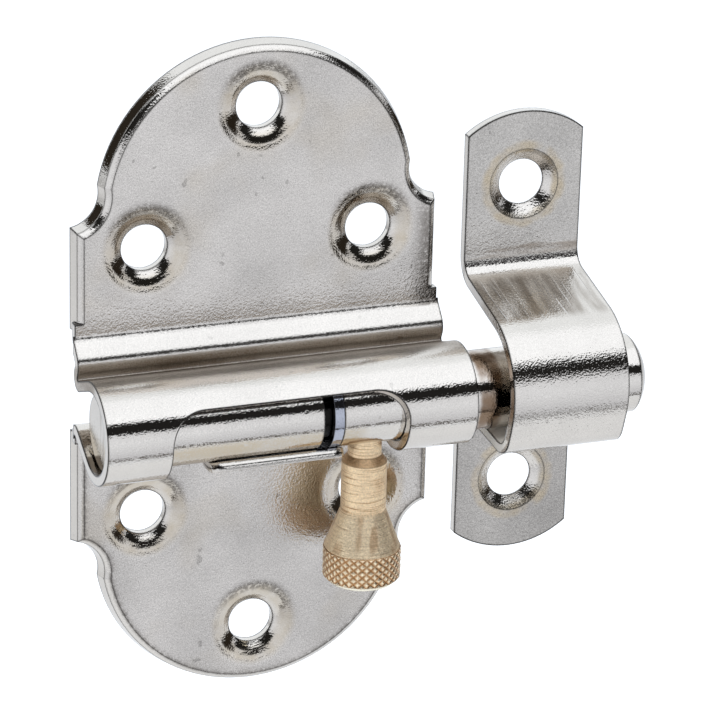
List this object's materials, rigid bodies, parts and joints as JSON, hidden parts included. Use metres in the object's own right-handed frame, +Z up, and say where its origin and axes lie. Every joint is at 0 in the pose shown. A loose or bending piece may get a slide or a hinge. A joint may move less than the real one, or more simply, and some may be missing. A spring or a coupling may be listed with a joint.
{
  "type": "barrel bolt",
  "caption": "Small barrel bolt for a door: pressed plate with its own rolled barrel, sliding bolt with a friction ring and hanging knob, and a bent keeper.",
  "frame": {"origin": "on the door's face, in the middle of the plate's four ear screw holes", "axes": "+X along the bolt towards the keeper, +Y into the door, +Z up"},
  "size_m": [0.0612, 0.0163, 0.0724],
  "materials": {
    "plated_steel": "satin nickel plate",
    "plated_rod": "satin nickel plate",
    "ring_steel": "polished spring steel",
    "turned_brass": "turned",
    "keeper_steel": "satin nickel plate"
  },
  "bodies": {
    "plate": {"base_plate": "plated_steel"},
    "ring": {"spring_ring": "ring_steel"},
    "bolt": {"bolt": "plated_rod", "knob": "turned_brass"},
    "keeper": {"keeper": "keeper_steel"}
  },
  "joints": [
    {"name": "bolt_slide", "type": "slide", "parent": "plate", "child": "ring", "axis": [1, 0, 0], "range_m": [-0.0207, 0.0006]},
    {"name": "bolt_turn", "type": "hinge", "parent": "ring", "child": "bolt", "pos_m": [0, -0.00905, -0.00176], "axis": [-1, 0, 0], "range_deg": [0, 90]},
    {"name": "keeper_apart", "type": "slide", "parent": "plate", "child": "keeper", "axis": [1, 0, 0], "range_m": [0, 0.02]}
  ]
}
